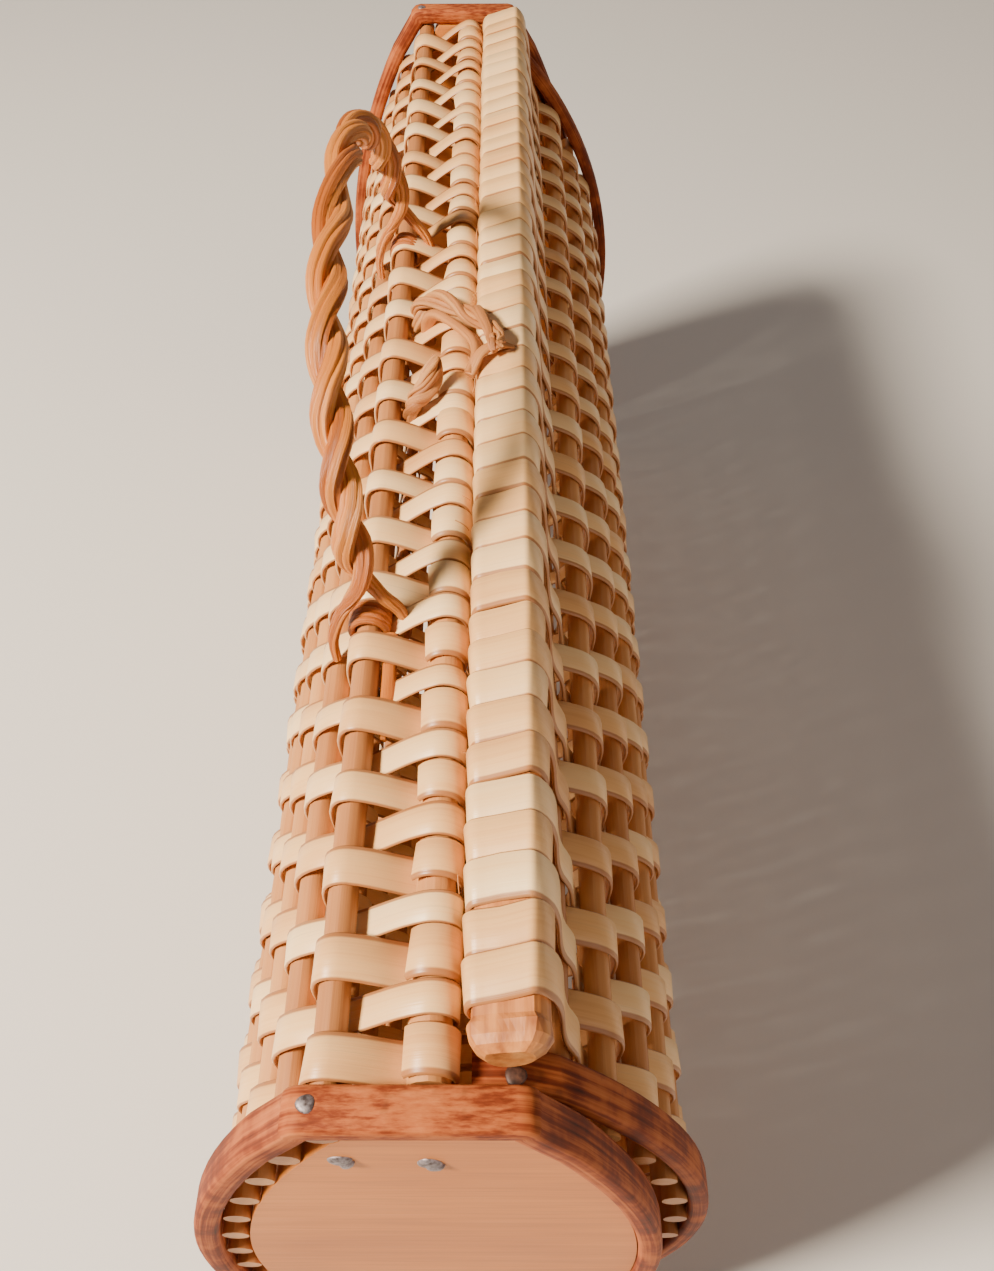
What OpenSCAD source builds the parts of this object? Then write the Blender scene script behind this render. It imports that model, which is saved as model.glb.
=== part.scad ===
// Small clamshell case of woven willow: wooden end boards with bent hoops,
// lengthwise rods, flat strips woven over and under them, a twisted handle,
// and a lid that swings on loops round its bottom rail.
// X runs from the body side to the lid side, Y along the case, Z up from the ground.

/* [Case] */
// Length over the two end hoops
case_l = 400; // [340:5:460]
// Height over an end hoop
case_h = 210; // [190:1:230]
// Width of the flat top between the corners of an end hoop
flat_w = 38; // [36:1:42]
// How far an end hoop bows out on the body side
body_bow = 31; // [26:1:36]
// How far an end hoop bows out on the lid side
lid_bow = 29; // [25:1:34]
// How far the lid's own hoops stand out past the end hoops at mid height
lid_overhang = 12; // [9:0.5:14]

/* [Boards and hoops] */
// Thickness of an end board
board_t = 7; // [5:0.5:9]
// How far a board lies back from the face of its hoop
board_recess = 1.5; // [0.5:0.5:3]
// Width of a hoop along the case
hoop_w = 7.5; // [6:0.5:9]
// Thickness of a hoop
hoop_t = 5.3; // [4.5:0.1:6]
// Diameter of a nail's head
nail_head_d = 3; // [2.5:0.1:3.5]
// Diameter of a nail's shank
nail_d = 1.6; // [1.2:0.1:2]

/* [Rods] */
// Diameter of a side rod
rod_d = 5.5; // [4.5:0.1:6]
// Diameter of the rod that carries the handle
handle_rod_d = 5.8; // [5:0.1:6.4]
// Distance of the handle rod from the middle of the flat top
handle_rod_x = 14; // [13:0.5:15.5]
// Height of the handle rod above the first side rod
corner_step = 12.5; // [11:0.5:15]
// Diameter of the body's edge rods at the seam
edge_d = 7.4; // [6.5:0.1:8]
// Distance of the wrapped edge below the top of the hoops
edge_below = 1.5; // [1:0.1:2.5]
// Diameter of the lid's top branch
branch_d = 12.8; // [12:0.1:13.5]
// Height of the branch's planed top above its centre
branch_flat = 4.1; // [3.6:0.1:4.8]
// Tilt of the planed top, up towards its outer ridge
branch_tilt = 15; // [5:1:20]
// Height of the wrapped ridge above the top of the hoops
branch_above = 5; // [3:0.1:6]
// Bare end of the branch, past its wraps
branch_bare = 5; // [3:0.5:6]
// Diameter of the lid's bottom rail
rail_d = 7.6; // [7:0.1:8]
// Number of side rods in the body
body_rods = 13; // [11:1:14]
// Number of side rods in the lid
lid_rods = 12; // [10:1:13]

/* [Weave] */
// Thickness of a strip
strip_t = 1.1; // [0.8:0.1:1.3]
// Number of strips along the body
body_strips = 46; // [40:2:52]
// Number of strips along the lid
lid_strips = 44; // [38:2:50]
// Open space between two strips
strip_space = 0.8; // [0.5:0.1:1.5]

/* [Handle] */
// Distance between the feet of the handle
handle_span = 142; // [120:1:160]
// Height of the handle's middle line above its rod
handle_rise = 56; // [48:1:66]
// How far the top of the handle leans out over the body side
handle_lean = 7; // [0:1:14]
// Place of the handle's middle along the case
handle_y = -24; // [-30:1:0]
// Outer diameter of the twisted handle
handle_d = 10.5; // [9:0.1:12]
// Full turns in the handle's twist
handle_turns = 6.5; // [4:0.5:8]
// Diameter of a strand wound round the handle rod
strand_d = 3.6; // [3:0.1:3.8]
// Diameter of the core's tail that lies beside the handle rod
tail_d = 3.2; // [2.6:0.1:3.4]
// Length of that tail
tail_l = 26; // [18:1:34]

/* [Hinge and clasp] */
// Number of hinge loops
hinge_loops = 3; // [2:1:3]
// Distance between two hinge loops
loop_pitch = 110; // [90:5:130]
// Width of a hinge loop along the rail
loop_w = 5; // [4:0.5:5.5]
// Thickness of a hinge loop
loop_t = 1.5; // [1.2:0.1:1.8]
// Diameter of the twisted clasp
clasp_d = 4.4; // [3.6:0.1:5]
// Place of the clasp along the case
clasp_y = -2; // [-8:1:8]

/* [Clearances] */
// Gap between a rod and the strips woven round it
weave_gap = 0.3; // [0.2:0.05:0.4]
// Gap between pieces seated on each other
seat_gap = 0.1; // [0.05:0.05:0.2]
// Gap between the wrapped edges at the seam
seam_gap = 0.6; // [0.4:0.1:1]
// Gap between the rail and the hinge loops round it
hinge_gap = 0.1; // [0.05:0.05:0.3]
// Gap between the lid and the end boards
lid_gap = 0.5; // [0.3:0.1:1]
// Gap between the hinge loops and the ground
ground_gap = 1; // [0.5:0.1:2]

/* [Hidden] */
$fn = 48;
BODY_RODS = [for (i = [1:body_rods]) str("body_rod_", i)];
HINGE_LOOPS = [for (i = [1:hinge_loops]) str("hinge_loop_", i)];
LID_RODS = [for (i = [1:lid_rods]) str("lid_rod_", i)];

STRAW = "burlywood";
BARK = "sienna";
WOOD = "tan";
ROPE = "peru";

// Section of the end hoops: two side arcs and a flat top and bottom
function arc_r(bow, half_h) = (half_h * half_h + bow * bow) / (2 * bow);
mid_z = case_h / 2;
half_flat = flat_w / 2;
body_r = arc_r(body_bow, mid_z);
body_cx = body_r - half_flat - body_bow;
lid_side_r = arc_r(lid_bow, mid_z);
lid_side_cx = half_flat + lid_bow - lid_side_r;
hoop_y = case_l / 2 - hoop_w;
board_y = case_l / 2 - board_recess - board_t;

// Radii of the wrapped pieces
wrap_t = weave_gap + strip_t;
rod_r = rod_d / 2;
edge_r = edge_d / 2;
branch_r = branch_d / 2;
rail_r = rail_d / 2;
handle_rod_r = handle_rod_d / 2;
// Way from the branch's centre to its wrapped ridge, and the ridge's height above that centre
ridge_angle = 90 + branch_tilt - acos((branch_flat + wrap_t) / (branch_r + wrap_t));
ridge_up = (branch_r + wrap_t) * sin(ridge_angle);

// Rods in the body, from the seam at the top round to the seam at the bottom
rod_depth = hoop_t + seat_gap + rod_r;
handle_rod_z = case_h - hoop_t - seat_gap - handle_rod_r;
edge_x = 2.4;
edge_z = case_h - edge_below - wrap_t - edge_r;
loop_r = rail_r + hinge_gap + loop_t;
rail_z = ground_gap + loop_r;
body_sweep = asin((handle_rod_z - corner_step - mid_z) / (body_r - rod_depth));
function body_arc(a) = [body_cx - (body_r - rod_depth) * cos(a), mid_z + (body_r - rod_depth) * sin(a)];
body_path = concat(
    [[edge_x, edge_z], [-handle_rod_x, handle_rod_z]],
    [for (i = [0:body_rods - 1]) body_arc(body_sweep * (1 - 2 * i / (body_rods - 1)))],
    [[-handle_rod_x, case_h - handle_rod_z], [edge_x, rail_z]]);
body_radii = concat(
    [edge_r, handle_rod_r],
    [for (i = [1:body_rods]) rod_r],
    [handle_rod_r, rail_r]);

// Rods in the lid, from the branch round to the bottom rail
branch_z = case_h + branch_above - ridge_up;
seam_step = edge_r + branch_r + 2 * wrap_t + seam_gap;
branch_x = edge_x + sqrt(pow(seam_step, 2) - pow(branch_z - edge_z, 2));
rail_x = branch_x;
tab_z = branch_z - branch_r - seat_gap;
lid_half = tab_z - mid_z;
lid_step = 2;
lid_corner = half_flat + lid_step;
lid_out = half_flat + lid_bow + lid_overhang;
lid_r = arc_r(lid_out - lid_corner, lid_half);
lid_cx = lid_out - lid_r;
lid_sweep = asin((lid_half - rod_depth - branch_r) / (lid_r - rod_depth));
function lid_arc(a) = [lid_cx + (lid_r - rod_depth) * cos(a), mid_z + (lid_r - rod_depth) * sin(a)];
lid_path = concat(
    [[branch_x, branch_z]],
    [for (i = [0:lid_rods - 1]) lid_arc(lid_sweep * (1 - 2 * i / (lid_rods - 1)))],
    [[rail_x, rail_z]]);
lid_radii = concat([branch_r], [for (i = [1:lid_rods]) rod_r], [rail_r]);
lid_hoop_y = board_y - lid_gap - hoop_w;
body_pitch = 2 * (board_y - seat_gap) / body_strips;
lid_pitch = 2 * (lid_hoop_y - seat_gap) / lid_strips;
// The part stands with the middle of its whole width at X = 0
centre_x = (half_flat + body_bow - lid_out) / 2;
loop_ys = [for (i = [0:hinge_loops - 1]) (i - (hinge_loops - 1) / 2) * loop_pitch];
feet_ys = [handle_y - handle_span / 2, handle_y + handle_span / 2];

// The handle's feet wind round its rod, and the grip stands on them
foot_r = handle_rod_r + seat_gap + strand_d / 2;
foot_turns = 2;
foot_l = foot_turns * (strand_d + seat_gap);
grip_z = handle_rod_z + foot_r + strand_d / 2 + seat_gap;
tail_place = [-handle_rod_x + handle_rod_r + tail_d / 2 + seat_gap, handle_rod_z];
tail_end = feet_ys[0] - foot_l / 2 - tail_l;

// Routes of the torn clasp and its stub, up out of the weave and over the wrapped edge
clasp_over = edge_r + wrap_t + clasp_d / 2 + 0.7;
clasp_root = [edge_x - clasp_over - 0.6, clasp_y, edge_z];
clasp_top = [branch_x, clasp_y, case_h + branch_above + clasp_d / 2 + 1];
clasp_path = [
    clasp_root + [0, 11, -6.4],
    clasp_root + [0.2, 11, 0.6],
    clasp_root + [1.6, 11.5, 5.6],
    [edge_x - 1, clasp_y + 8, edge_z + clasp_over],
    clasp_top + [-9.5, 1, -4.8],
    clasp_top + [-5.5, -9, -1.4],
    clasp_top + [-2.5, -17, 0]];
stub_path = [
    clasp_root + [0, -27, -6.4],
    clasp_root + [0, -27, 0.6],
    clasp_root + [0.8, -26, 5.2],
    [edge_x - 3.1, clasp_y - 23, edge_z + clasp_over],
    [edge_x + 1.5, clasp_y - 19, edge_z + clasp_over + 0.6]];

// Vector helpers in the section plane
function unit(v) = v / norm(v);
function turn(v, side) = [side * v[1], -side * v[0]];
function outward(path, i, side) =
    turn(unit(path[min(i + 1, len(path) - 1)] - path[max(i - 1, 0)]), side);

function has(list, value) = len([for (v = list) if (v == value) v]) > 0;
function turned(v, a) = [v[0] * cos(a) - v[1] * sin(a), v[0] * sin(a) + v[1] * cos(a)];

// A strip is a line of bends, each a place and the way that the strip's face looks there.
// It crosses a rod as a low peak that clears the rod by the weave gap
function peak(r, half_step) = (r + weave_gap) / sqrt(1 - pow((r + weave_gap) / half_step, 2));
function crossing(path, radii, i, side, over, lift) =
    let (out = outward(path, i, side), step = norm(path[i + 1] - path[i - 1]) / 4)
    [path[i] + over * out * (peak(radii[i], step) + lift + strip_t / 2), out];
// It goes round the outside of a corner rod in two bends, and rises a little over the next rod
corner_bend = 35;
corner_lift = 0.5;
function corner_crossing(path, radii, i, side, a) =
    let (out = turned(outward(path, i, side), a))
    [path[i] + out * (radii[i] + weave_gap + strip_t / 2) / cos(corner_bend), out];
// It leaves a wrapped edge rod at this slant, its end thinned so that it is tucked into the wrap
leave_angle = 42;
tucked = 0.6;
function leaving(path, radii, i, to, side, over) =
    let (away = unit(path[to] - path[i]))
    let (out = turn(away, side * (to > i ? 1 : -1)) * cos(leave_angle) + over * away * sin(leave_angle))
    [path[i] + over * out * (radii[i] + weave_gap + strip_t / 2), out * tucked];
function strip_bends(path, radii, corners, side, phase) =
    let (last = len(path) - 1)
    [for (i = [0:last])
        let (over = (i + phase) % 2 == 0 ? 1 : -1)
        let (next = has(corners, i - 1) || has(corners, i + 1))
        each i == 0 ? [leaving(path, radii, 0, 1, side, over)]
        : i == last ? [leaving(path, radii, last, last - 1, side, over)]
        : over > 0 && has(corners, i)
            ? [for (a = [-corner_bend, corner_bend]) corner_crossing(path, radii, i, side, a)]
        : [crossing(path, radii, i, side, over, over > 0 && next ? corner_lift : 0)]];

// Draws a section in X and Z and runs it along the case from y0 to y1
module along_y(y0, y1) {
    translate([0, y1, 0])
        rotate([90, 0, 0])
            linear_extrude(y1 - y0) children();
}

// Section inside an end hoop's outer face: two bowed sides, a flat top and a flat bottom
module end_outline(depth) {
    intersection() {
        translate([body_cx, mid_z]) circle(body_r - depth);
        translate([lid_side_cx, mid_z]) circle(lid_side_r - depth);
        translate([-case_h / 2, depth]) square([case_h, case_h - 2 * depth]);
    }
}

module rod(place, r, y0, y1) {
    along_y(y0, y1) translate(place) circle(r);
}

// Nails are driven upright through the flat top and bottom of the end hoops and on through
// the corner rods; their heads lie flush
nail_x = -handle_rod_x - nail_d;
nail_into = 9;
nail_y = case_l / 2 - hoop_w / 2 - 0.5;
nail_l = hoop_t + nail_into;
head_t = 0.9;
module nails(end, more) {
    for (side = [0, 1])
        translate([nail_x, end * nail_y, mid_z])
            mirror([0, 0, side]) {
                translate([0, 0, mid_z - nail_l]) cylinder(r = nail_d / 2 + more, h = nail_l);
                translate([0, 0, mid_z - head_t - more])
                    cylinder(r = nail_head_d / 2 + more, h = head_t + more);
            }
}

module end_board(end) {
    y0 = end > 0 ? board_y : -board_y - board_t;
    notch_r = handle_rod_r + seat_gap;
    color(WOOD)
        difference() {
            along_y(y0, y0 + board_t)
                difference() {
                    intersection() {
                        end_outline(hoop_t + seat_gap);
                        translate([body_cx, mid_z]) circle(body_r - rod_depth - rod_r - seat_gap);
                    }
                    for (z = [handle_rod_z, case_h - handle_rod_z]) {
                        translate([-handle_rod_x, z]) circle(notch_r);
                        translate([-case_h / 2 - handle_rod_x, z - notch_r])
                            square([case_h / 2, 2 * notch_r]);
                    }
                }
            nails(end, seat_gap);
        }
}

module end_hoop(end) {
    y0 = end > 0 ? hoop_y : -hoop_y - hoop_w;
    color(BARK)
        difference() {
            along_y(y0, y0 + hoop_w)
                difference() {
                    end_outline(0);
                    end_outline(hoop_t);
                }
            nails(end, seat_gap);
        }
}

module hoop_nails() {
    color("gray")
        for (end = [-1, 1]) nails(end, 0);
}

module side_rod(path, i, half_l) {
    color(STRAW) rod(path[i], rod_r, -half_l, half_l);
}

// Rods in the body's two corners, nailed at both ends
module corner_rod(place) {
    color(STRAW)
        difference() {
            rod(place, handle_rod_r, -board_y - board_t, board_y + board_t);
            for (end = [-1, 1]) nails(end, seat_gap);
        }
}

module handle_rod() { corner_rod(body_path[1]); }
module bottom_corner_rod() { corner_rod(body_path[len(body_path) - 2]); }

module top_edge_rod() {
    color(STRAW) rod(body_path[0], edge_r, -board_y, board_y);
}

module bottom_edge_rod() {
    color(STRAW) rod(body_path[len(body_path) - 1], rail_r, -board_y, board_y);
}

// One strip in section: a zigzag band over and under the rods
module strip_band(bends) {
    last = len(bends) - 1;
    polygon(concat(
        [for (i = [0:last]) bends[i][0] + bends[i][1] * strip_t / 2],
        [for (i = [last:-1:0]) bends[i][0] - bends[i][1] * strip_t / 2]));
}

// A wrap round a round edge rod
module wrap_ring(place, r) {
    translate(place)
        difference() {
            circle(r + wrap_t);
            circle(r + weave_gap);
        }
}

// The branch is round below and planed on top, so that it has a sharp ridge on its outer side
module branch_section(more) {
    intersection() {
        circle(branch_r + more);
        rotate(branch_tilt)
            translate([-branch_d, -branch_d]) square([2 * branch_d, branch_d + branch_flat + more]);
    }
}

module branch_ring() {
    translate([branch_x, branch_z])
        difference() {
            branch_section(wrap_t);
            branch_section(weave_gap);
        }
}

// Room in the body's weave for the handle's feet and tail, the clasp and the hinge loops
module body_weave_room() {
    for (y = feet_ys)
        rod(body_path[1], foot_r + strand_d / 2 + weave_gap,
            y - foot_l / 2 - weave_gap, y + foot_l / 2 + weave_gap);
    rod(tail_place, tail_d / 2 + weave_gap, tail_end - weave_gap, feet_ys[0]);
    for (root = [clasp_path[0], stub_path[0]])
        translate([root[0], root[1], handle_rod_z])
            cylinder(d = clasp_d + 4 * weave_gap, h = 5 * rod_d, center = true);
    hinge_room(body_path[len(body_path) - 1]);
}

module hinge_room(place) {
    for (y = loop_ys)
        rod(place, loop_r + weave_gap, y - loop_w / 2 - weave_gap, y + loop_w / 2 + weave_gap);
}

// Strips side by side along the case, each over the rods that the next one passes under
module strips(path, radii, corners, side, count, pitch) {
    for (k = [0:count - 1]) {
        y = (k + 0.5 - count / 2) * pitch;
        along_y(y - (pitch - strip_space) / 2, y + (pitch - strip_space) / 2)
            strip_band(strip_bends(path, radii, corners, side, k % 2));
    }
}

module body_weave() {
    half_l = board_y - seat_gap;
    color(STRAW)
        difference() {
            union() {
                strips(body_path, body_radii, [1, body_rods + 2], 1, body_strips, body_pitch);
                along_y(-half_l, half_l) wrap_ring(body_path[0], edge_r);
                along_y(-half_l, half_l) wrap_ring(body_path[len(body_path) - 1], rail_r);
            }
            body_weave_room();
        }
}

module lid_weave() {
    half_l = lid_hoop_y - seat_gap;
    color(STRAW)
        difference() {
            union() {
                strips(lid_path, lid_radii, [], -1, lid_strips, lid_pitch);
                along_y(-half_l, half_l) branch_ring();
                along_y(-half_l, half_l) wrap_ring(lid_path[len(lid_path) - 1], rail_r);
            }
            hinge_room(lid_path[len(lid_path) - 1]);
        }
}

// A closed tube of lobed section, twisted along a line of points
tube_sides = 18;
lobe_depth = 0.16;
function lobed(a, lobes, r) = r * (1 - lobe_depth + lobe_depth * cos(lobes * a));
function tangent(line, i) = unit(line[min(i + 1, len(line) - 1)] - line[max(i - 1, 0)]);
module twisted_tube(line, r, lobes, turns, side_way) {
    last = len(line) - 1;
    points = [for (i = [0:last], j = [0:tube_sides - 1])
        let (t = tangent(line, i), n = unit(cross(side_way, t)), b = cross(t, n), a = j * 360 / tube_sides)
        line[i] + lobed(a, lobes, r)
            * (n * cos(a + turns * 360 * i / last) + b * sin(a + turns * 360 * i / last))];
    corner = function(i, j) i * tube_sides + j % tube_sides;
    polyhedron(points, concat(
        [[for (j = [0:tube_sides - 1]) j]],
        [for (i = [0:last - 1], j = [0:tube_sides - 1])
            [corner(i, j), corner(i + 1, j), corner(i + 1, j + 1)]],
        [for (i = [0:last - 1], j = [0:tube_sides - 1])
            [corner(i, j), corner(i + 1, j + 1), corner(i, j + 1)]],
        [[for (j = [tube_sides - 1:-1:0]) corner(last, j)]]));
}

// Points of a smooth curve through hand-chosen route points
function smooth(p, steps) =
    [for (i = [0:len(p) - 2], k = [0:steps - (i < len(p) - 2 ? 1 : 0)])
        let (t = k / steps, a = p[max(i - 1, 0)], b = p[i], c = p[i + 1], d = p[min(i + 2, len(p) - 1)])
        0.5 * (2 * b + (c - a) * t
            + (2 * a - 5 * b + 4 * c - d) * t * t
            + (3 * b - a - 3 * c + d) * t * t * t)];

// Two skeins of willow twisted into an arch that leans out over the body side;
// a lower power makes the arch squarer
grip_steps = 52;
grip_skeins = 2;
arch_power = 0.8;
function arch_way(a) = sign(cos(a)) * pow(abs(cos(a)), arch_power);
module handle_grip() {
    arch = [for (i = [0:grip_steps])
        let (a = 180 * i / grip_steps)
        [-handle_rod_x - handle_lean * sin(a),
            handle_y - handle_span / 2 * arch_way(a),
            grip_z + handle_rise * sin(a)]];
    color(ROPE) twisted_tube(arch, handle_d / 2, grip_skeins, handle_turns, unit([handle_rise, 0, handle_lean]));
}

module handle_foot(y) {
    color(ROPE)
        for (k = [0:foot_turns - 1])
            translate([-handle_rod_x, y + (k - (foot_turns - 1) / 2) * (strand_d + seat_gap), handle_rod_z])
                rotate([90, 0, 0])
                    rotate_extrude() translate([foot_r, 0]) circle(d = strand_d);
}

module near_handle_foot() { handle_foot(feet_ys[0]); }
module far_handle_foot() { handle_foot(feet_ys[1]); }

module handle_tail() {
    color(ROPE) rod(tail_place, tail_d / 2, tail_end, tail_end + tail_l);
}

route_steps = 4;
module clasp_loop() {
    color(ROPE) twisted_tube(smooth(clasp_path, route_steps), clasp_d / 2, 2, 3, [0, 1, 0]);
}

module clasp_stub() {
    color(ROPE) twisted_tube(smooth(stub_path, route_steps), clasp_d / 2, 2, 2, [0, 1, 0]);
}

// A loop holds the lid's rail beside the body's bottom edge rod
module hinge_loop(y) {
    color(STRAW)
        along_y(y - loop_w / 2, y + loop_w / 2)
            difference() {
                union() {
                    translate([rail_x, rail_z]) circle(loop_r);
                    translate([edge_x, rail_z]) circle(loop_r);
                    translate([edge_x, rail_z - loop_t]) square([rail_x - edge_x, 2 * loop_t]);
                }
                translate([rail_x, rail_z]) circle(rail_r + hinge_gap);
                translate([edge_x, rail_z]) circle(rail_r + seat_gap);
            }
}

module lid_branch() {
    color(WOOD)
        along_y(-lid_hoop_y - branch_bare, lid_hoop_y + branch_bare)
            translate([branch_x, branch_z]) branch_section(0);
}

module lid_rail() {
    color(STRAW) rod([rail_x, rail_z], rail_r, -lid_hoop_y - hoop_w, lid_hoop_y + hoop_w);
}

// A lid hoop runs from a tab under the branch down the lid's bow to an eye round the rail
module lid_hoop(end) {
    y0 = end > 0 ? lid_hoop_y : -lid_hoop_y - hoop_w;
    color(BARK)
        along_y(y0, y0 + hoop_w)
            difference() {
                union() {
                    difference() {
                        intersection() {
                            translate([lid_cx, mid_z]) circle(lid_r);
                            translate([branch_x - branch_r, rail_z]) square([case_h, tab_z - rail_z]);
                        }
                        intersection() {
                            translate([lid_cx, mid_z]) circle(lid_r - hoop_t);
                            square([case_h, tab_z - hoop_t]);
                        }
                    }
                    translate([rail_x, rail_z]) circle(loop_r);
                }
                translate([rail_x, rail_z]) circle(rail_r + seat_gap);
            }
}

module centred() {
    translate([centre_x, 0, 0]) children();
}

module near_lid_hoop() { lid_hoop(-1); }
module far_lid_hoop() { lid_hoop(1); }

module near_end_board() { end_board(-1); }
module far_end_board() { end_board(1); }
module near_end_hoop() { end_hoop(-1); }
module far_end_hoop() { end_hoop(1); }

centred() near_end_board();
centred() far_end_board();
centred() near_end_hoop();
centred() far_end_hoop();
centred() hoop_nails();
centred() handle_rod();
centred() top_edge_rod();
centred() bottom_corner_rod();
centred() bottom_edge_rod();
centred() body_weave();
centred() lid_weave();
centred() handle_grip();
centred() near_handle_foot();
centred() far_handle_foot();
centred() handle_tail();
centred() clasp_loop();
centred() clasp_stub();
centred() lid_branch();
centred() lid_rail();
centred() near_lid_hoop();
centred() far_lid_hoop();
for (i = [1:hinge_loops])
    centred() hinge_loop(loop_ys[i - 1]);
for (i = [1:body_rods])
    centred() side_rod(body_path, i + 1, board_y + board_t);
for (i = [1:lid_rods])
    centred() side_rod(lid_path, i, lid_hoop_y + hoop_w);
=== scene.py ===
# %% [markdown]
# # A small wicker case
#
# The case is two bowed halves that meet at the top: a body with wooden end boards and a lid that
# swings on its bottom rail. Willow rods run along both halves, pale split strips are woven over
# and under them, and a twisted handle stands on the body's corner rod.
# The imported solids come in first, as a fixed frame. Every place below is measured from them.

# %% Load the frame
import math
import bpy
import bmesh
import numpy as np
from mathutils import Matrix, Vector


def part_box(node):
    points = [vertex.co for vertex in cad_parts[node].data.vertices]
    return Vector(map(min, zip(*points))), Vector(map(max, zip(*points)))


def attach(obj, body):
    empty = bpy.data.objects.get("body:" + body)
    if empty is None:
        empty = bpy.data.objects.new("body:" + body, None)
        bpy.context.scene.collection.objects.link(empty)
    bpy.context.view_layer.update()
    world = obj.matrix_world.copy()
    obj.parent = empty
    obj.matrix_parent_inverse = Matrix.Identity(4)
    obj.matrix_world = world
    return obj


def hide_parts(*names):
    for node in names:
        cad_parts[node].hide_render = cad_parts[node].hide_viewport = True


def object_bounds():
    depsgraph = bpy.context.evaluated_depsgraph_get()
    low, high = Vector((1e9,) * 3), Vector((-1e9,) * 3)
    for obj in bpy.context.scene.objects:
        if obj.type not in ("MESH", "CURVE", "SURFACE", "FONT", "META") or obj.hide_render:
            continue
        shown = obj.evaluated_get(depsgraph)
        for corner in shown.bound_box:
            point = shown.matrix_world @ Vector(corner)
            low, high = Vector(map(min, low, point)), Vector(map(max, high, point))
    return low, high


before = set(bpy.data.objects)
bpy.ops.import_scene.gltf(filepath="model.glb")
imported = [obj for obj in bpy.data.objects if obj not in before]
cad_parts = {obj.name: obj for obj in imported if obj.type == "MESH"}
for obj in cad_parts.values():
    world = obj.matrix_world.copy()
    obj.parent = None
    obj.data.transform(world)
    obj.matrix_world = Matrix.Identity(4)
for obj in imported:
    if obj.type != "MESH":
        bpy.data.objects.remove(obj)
CAD_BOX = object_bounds()
MM = 0.001
chance = np.random.default_rng(11)
print("solids:", len(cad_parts), "box:", [[round(v, 4) for v in c] for c in CAD_BOX])

# %% [markdown]
# ## Where the rods lie
# Seen from the end, the whole weave is a row of circles. Each rod's box gives its centre and its
# radius, so the woven strips can be led round them without repeating any number from the source.

# %% Rod centres in the end view
def rod_circle(node):
    lo, hi = (np.array(c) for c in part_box(node))
    r = (hi[0] - lo[0]) / 2
    return np.array([lo[0] + r, lo[2] + r]), r

BODY_ROW = (["top_edge_rod", "handle_rod"] + ["body_rod_%d" % i for i in range(1, 14)]
            + ["bottom_corner_rod", "bottom_edge_rod"])
LID_ROW = ["lid_branch"] + ["lid_rod_%d" % i for i in range(1, 13)] + ["lid_rail"]
BODY_RODS = [rod_circle(n) for n in BODY_ROW]
LID_RODS = [rod_circle(n) for n in LID_ROW]
EDGE, EDGE_R = BODY_RODS[0]
CORNER, CORNER_R = BODY_RODS[1]
BRANCH, BRANCH_R = LID_RODS[0]
BODY_HALF = -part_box("near_end_board")[1][1] - 0.1 * MM
LID_HALF = -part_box("near_lid_hoop")[1][1] - 0.1 * MM
print("edge rod at", (EDGE / MM).round(1), "branch at", (BRANCH / MM).round(1), "half lengths",
      round(BODY_HALF / MM, 1), round(LID_HALF / MM, 1))

# %% [markdown]
# ## Shader maths as plain expressions
# A finish is easier to read as a formula than as a list of links. `Val` wraps a socket, and an
# expression such as `1 - mask * 0.5` adds the Math nodes. `Finish.node` makes every other node.

# %% Val and Finish
class Val:
    def __init__(self, socket):
        self.socket = socket

    def math(self, operation, *others):
        tree = self.socket.id_data
        made = tree.nodes.new("ShaderNodeMath")
        made.operation = operation
        for place, value in zip(made.inputs, (self,) + others):
            if isinstance(value, Val):
                tree.links.new(value.socket, place)
            else:
                place.default_value = value
        return Val(made.outputs[0])

    def reflected(self, operation, first):
        made = self.math(operation, 0.0)
        tree = self.socket.id_data
        node = made.socket.node
        tree.links.remove(node.inputs[0].links[0])
        node.inputs[0].default_value = first
        tree.links.new(self.socket, node.inputs[1])
        return made

    def __add__(self, o): return self.math("ADD", o)
    def __radd__(self, o): return self.math("ADD", o)
    def __mul__(self, o): return self.math("MULTIPLY", o)
    def __rmul__(self, o): return self.math("MULTIPLY", o)
    def __sub__(self, o): return self.math("SUBTRACT", o)
    def __rsub__(self, o): return self.reflected("SUBTRACT", o)


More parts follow.
